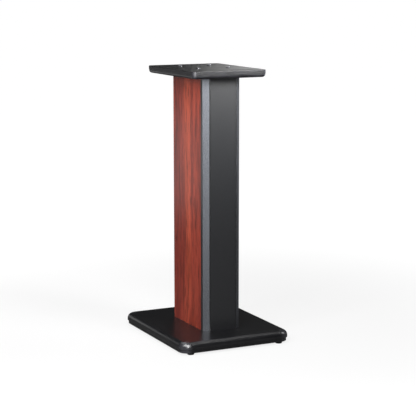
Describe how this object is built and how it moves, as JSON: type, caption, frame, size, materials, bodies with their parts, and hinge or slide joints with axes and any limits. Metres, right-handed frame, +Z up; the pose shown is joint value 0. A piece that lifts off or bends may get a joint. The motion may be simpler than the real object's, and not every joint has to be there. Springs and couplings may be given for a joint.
{
  "type": "loudspeaker stand",
  "caption": "Fixed loudspeaker stand: a veneered rectangular column with chamfered front corners between a wide bullnosed base board and a small flat top plate.",
  "frame": {"origin": "on the floor under the middle of the base board", "axes": "+Z up; the front of the stand, with the chamfered board, faces -Y; +X is to the right of someone looking along +Y at the front"},
  "size_m": [0.295, 0.362, 0.6743],
  "materials": {
    "black_wrap": "fibreboard wrapped in satin black vinyl with a fine leather grain",
    "black_grain_wrap": "fibreboard wrapped in black ash-grained vinyl, satin",
    "black_front": "fibreboard with a fine textured matt black finish",
    "cherry_veneer": "fibreboard faced with red cherry veneer, upright grain, satin lacquer",
    "graphite_strip": "fine blasted, satin graphite",
    "bare_board": "bare medium density fibreboard",
    "black_steel": "black oxide, hexagon socket heads",
    "zinc_steel": "bright zinc plated",
    "black_rubber": "moulded matt black rubber"
  },
  "bodies": {
    "root": {"base_board": "black_wrap", "top_plate": "black_grain_wrap", "front_board": "black_front", "rear_panel": "black_front", "bottom_end_block": "bare_board", "top_end_block": "bare_board", "left_side_panel": "cherry_veneer", "right_side_panel": "cherry_veneer", "left_trim_strip": "graphite_strip", "right_trim_strip": "graphite_strip", "top_bolt_front_left": "black_steel", "top_barrel_nut_front_left": "zinc_steel", "base_bolt_front_left": "black_steel", "base_washer_front_left": "zinc_steel", "base_barrel_nut_front_left": "zinc_steel", "foot_front_left": "black_rubber", "foot_screw_front_left": "zinc_steel", "top_bolt_front_right": "black_steel", "top_barrel_nut_front_right": "zinc_steel", "base_bolt_front_right": "black_steel", "base_washer_front_right": "zinc_steel", "base_barrel_nut_front_right": "zinc_steel", "foot_front_right": "black_rubber", "foot_screw_front_right": "zinc_steel", "top_bolt_rear_left": "black_steel", "top_barrel_nut_rear_left": "zinc_steel", "base_bolt_rear_left": "black_steel", "base_washer_rear_left": "zinc_steel", "base_barrel_nut_rear_left": "zinc_steel", "foot_rear_left": "black_rubber", "foot_screw_rear_left": "zinc_steel", "top_bolt_rear_right": "black_steel", "top_barrel_nut_rear_right": "zinc_steel", "base_bolt_rear_right": "black_steel", "base_washer_rear_right": "zinc_steel", "base_barrel_nut_rear_right": "zinc_steel", "foot_rear_right": "black_rubber", "foot_screw_rear_right": "zinc_steel"}
  },
  "joints": []
}
